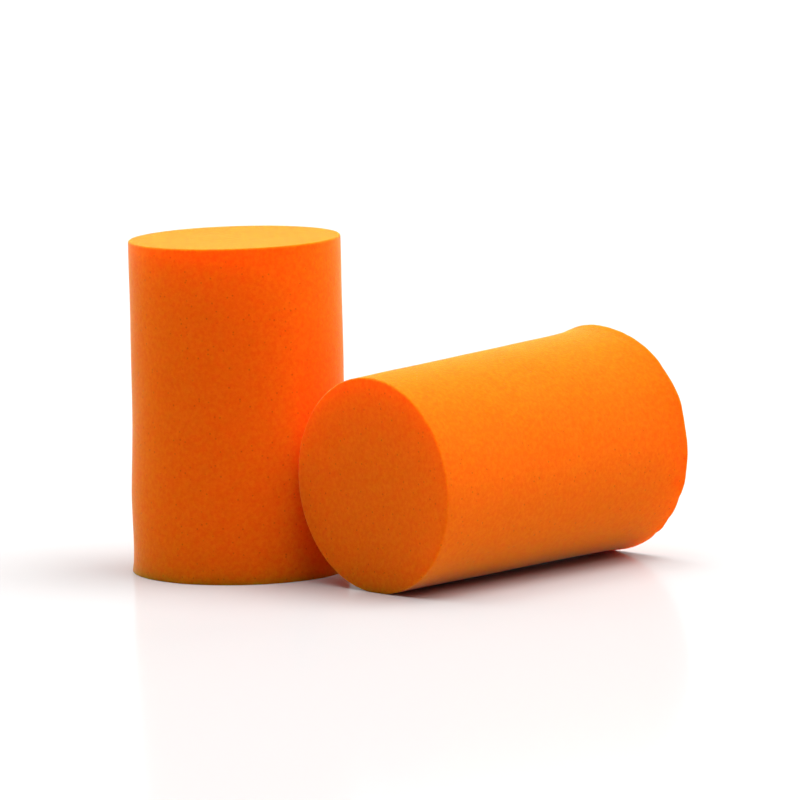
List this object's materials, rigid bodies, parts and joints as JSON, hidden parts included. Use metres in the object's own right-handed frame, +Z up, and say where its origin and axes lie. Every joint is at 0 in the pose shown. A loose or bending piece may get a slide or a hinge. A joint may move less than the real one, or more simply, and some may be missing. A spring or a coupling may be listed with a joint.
{
  "type": "foam ear plugs",
  "caption": "Cylindrical slow-recovery foam ear plugs, rolled thin and put in the ear canal, where they swell to block noise; one stands, one lies.",
  "frame": {"origin": "centre of the standing plug's base, on the surface that both plugs rest on", "axes": "+Z up along the standing plug's axis; +X to the side where the lying plug is; +Y away from the side where the lying plug's narrow end points"},
  "size_m": [0.0327, 0.0235, 0.0197],
  "materials": {
    "standing_plug_foam": "dull, very finely pored polyurethane foam, orange, slightly see-through at its edges",
    "lying_plug_foam": "dull, very finely pored polyurethane foam, orange, slightly see-through at its edges"
  },
  "bodies": {
    "standing_plug": {"standing_plug": "standing_plug_foam"},
    "lying_plug": {"lying_plug": "lying_plug_foam"}
  },
  "joints": [
    {"name": "lying_plug_lift", "type": "slide", "parent": "standing_plug", "child": "lying_plug", "axis": [0, 0, 1], "range_m": [0, 0.03]}
  ]
}
